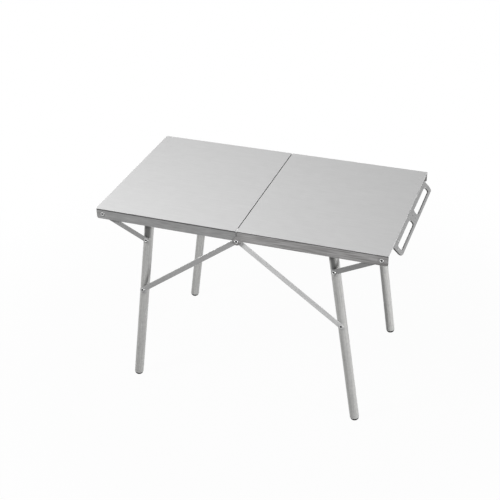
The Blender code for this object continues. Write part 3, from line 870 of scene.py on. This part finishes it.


# Tubular steel rivet, nickel plated and rolled over at the head: a bright ring round a hollow that
# is painted near black as shade
rivet = {
    "headDiameter": 13.4,
    "headHeight": 2.0,
    "lowerHeadHeight": 1.6,
    "underHead": 0.97,  # the head's underside against its diameter
    "boreDiameter": 7.8,
    "boreEnd": 0.8,  # the hollow's end against the bore
    "hollowDepth": 5.5,
    "shortHollowDepth": 1.2,  # where the tail is a piece of its own
    "shankDiameter": 6.0,
    "tailDiameter": 9.0,
    "tailHeight": 1.4,
    # share of the tail's radius, and millimetres past its start
    "tailShape": [(0.96, 0), (1, 0.3), (0.93, 0.9), (0.75, 1.4), (0.5, 1.15), (0.4, 0.5), (0, 0.3)],
    "rollSteps": 9,
    "rollFullness": 0.7,  # below 1 the roll is fuller than a half circle
    "hollowFaces": (0, 1, 2, 3),  # the hollow and the roll's inner side, painted near black as shade
    "steps": 40,
    "plate": {
        "dark": "#B4B4B4", "light": "#D0D0D0", "speck": 1.5, "roughness": (0.24, 0.36),
        "relief": 0.05, "metallic": 0.5, "specular": 0.5,
    },
    # near black, painted in the hollows as shade
    "hollowShade": {
        "dark": "#060606", "light": "#101010", "speck": 1.0, "roughness": (0.8, 0.95),
        "relief": 0.1, "metallic": 0.0, "specular": 0.1,
    },
}
nickel = mottledSurface("nickelPlatedRivet", rivet["plate"])
paintedHollowShade = mottledSurface("paintedHollowShade", rivet["hollowShade"])


def makeRivet(node, headHeight, hasTail):
    low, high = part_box(node)
    outward = -1 if node.startswith("front") else 1
    centre = centreOf(node)
    headTop = Vector((centre.x, high.y if outward > 0 else low.y, centre.z))
    length = (high.y - low.y) / mm
    if "upper_leg" in node:  # its tail sits on the widened tube's far side
        length += wideLeg["diameter"] - packedDiameter
    head, bore = rivet["headDiameter"] / 2, rivet["boreDiameter"] / 2
    shank, tail = rivet["shankDiameter"] / 2, rivet["tailDiameter"] / 2
    hollow = headHeight + rivet["hollowDepth" if hasTail else "shortHollowDepth"]
    middle, half = (head + bore) / 2, (head - bore) / 2
    profile = [(0, hollow), (bore * rivet["boreEnd"], hollow), (bore, headHeight)]
    for step in range(1, rivet["rollSteps"] + 1):
        angle = math.pi * step / rivet["rollSteps"]
        rise = math.sin(angle) ** rivet["rollFullness"]
        profile.append((middle - half * math.cos(angle), headHeight * (1 - rise)))
    profile += [(head * rivet["underHead"], headHeight), (shank, headHeight)]
    if hasTail:
        tailStart = length - rivet["tailHeight"]
        profile.append((shank, tailStart))
        profile += [(tail * share, tailStart + depth) for share, depth in rivet["tailShape"]]
    else:
        profile += [(shank, length), (0, length)]
    piece = turnedPiece(
        f"{node}_dressed",
        profile,
        headTop,
        (0, -outward, 0),
        rivet["steps"],
        (nickel, paintedHollowShade),
        rivet["hollowFaces"],
    )
    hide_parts(node)
    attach(piece, bodyOf[node])


for end in ends:
    makeRivet(f"{end}_hinge_rivet", rivet["headHeight"], True)
    for side in sides:
        makeRivet(f"{end}_{side}_corner_rivet", rivet["headHeight"], True)
        makeRivet(f"{end}_{side}_upper_leg_rivet", rivet["headHeight"], True)
        makeRivet(f"{end}_{side}_lower_leg_rivet", rivet["lowerHeadHeight"], False)
        setMaterial(f"{end}_{side}_lower_leg_rivet_tail", nickel)
        for place in ("corner", "upper_leg"):
            setMaterial(f"{end}_{side}_{place}_washer", nickel)
    setMaterial(f"{end}_left_lower_leg_washer", nickel)
print("rivets made")

# Small pips of the handle's spot welds: a low ring about a middle painted dark as shade, or wholly
# in bright nickel as a painted highlight
handleMark = {
    # millimetres along Y and down the slope, and whether its middle is painted dark as shade; the
    # others are bright nickel as a painted highlight
    "places": [(1, 16, True), (4, 29, True), (-219, 19, False), (-183, 7, False), (192, 9, True)],
    "edgeDrop": 30.2,  # the handle's outer edge, below the panel's underside
    "radius": 3.0,
    # share of the radius, and millimetres into the sheet
    "shape": [(0, -0.1), (0.35, -0.1), (0.55, -0.4), (0.8, -0.36), (1, 0.05), (0, 0.05)],
    "middleFaces": (0, 1),
    "steps": 24,
}


def makeHandleMarks():
    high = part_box("carry_handle")[1]
    edge = Vector((high.x, 0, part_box("right_top_panel")[0].z - handleMark["edgeDrop"] * mm))
    uphill = Vector((-1, 0, 1)).normalized()
    profile = [(share * handleMark["radius"], depth) for share, depth in handleMark["shape"]]
    for number, (across, down, shadedMiddle) in enumerate(handleMark["places"]):
        up = (handleSheet["slopeWidth"] - down) * mm
        place = edge + uphill * up + Vector((0, across, 0)) * mm
        piece = turnedPiece(
            f"handle_mark_{number}",
            profile,
            place,
            (-1, 0, -1),
            handleMark["steps"],
            (handleMetal if shadedMiddle else nickel, paintedHollowShade),
            handleMark["middleFaces"] if shadedMiddle else (),
        )
        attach(piece, bodyOf["carry_handle"])


makeHandleMarks()
print("handle marks made")

# Moulded rubber foot: near black and matt, with a soft edge round its sole
foot = {
    "rubber": {
        "dark": "#0B0B0C", "light": "#151516", "speck": 2.0, "roughness": (0.62, 0.8),
        "relief": 0.25, "metallic": 0.0, "specular": 0.3,
    },
    "edge": 0.6,
    "edgeSteps": 3,
}
rubber = mottledSurface("mouldedRubber", foot["rubber"])
for end, side in legs:
    setMaterial(f"{end}_{side}_foot", rubber)
    breakEdges(f"{end}_{side}_foot", foot["edge"], foot["edgeSteps"])
print("feet dressed")

# Moulded nylon plug in the tube's top: grey and slightly glossy
plug = {
    "nylon": {
        "dark": "#3A3A3C", "light": "#4A4A4C", "speck": 2.5, "roughness": (0.35, 0.5),
        "relief": 0.15, "metallic": 0.0, "specular": 0.5,
    },
    "edge": 0.4,
}
nylon = mottledSurface("mouldedNylon", plug["nylon"])
for end, side in legs:
    setMaterial(f"{end}_{side}_leg_plug", nylon)
    breakEdges(f"{end}_{side}_leg_plug", plug["edge"])
print("plugs dressed")

bpy.context.scene.view_settings.view_transform = "Standard"
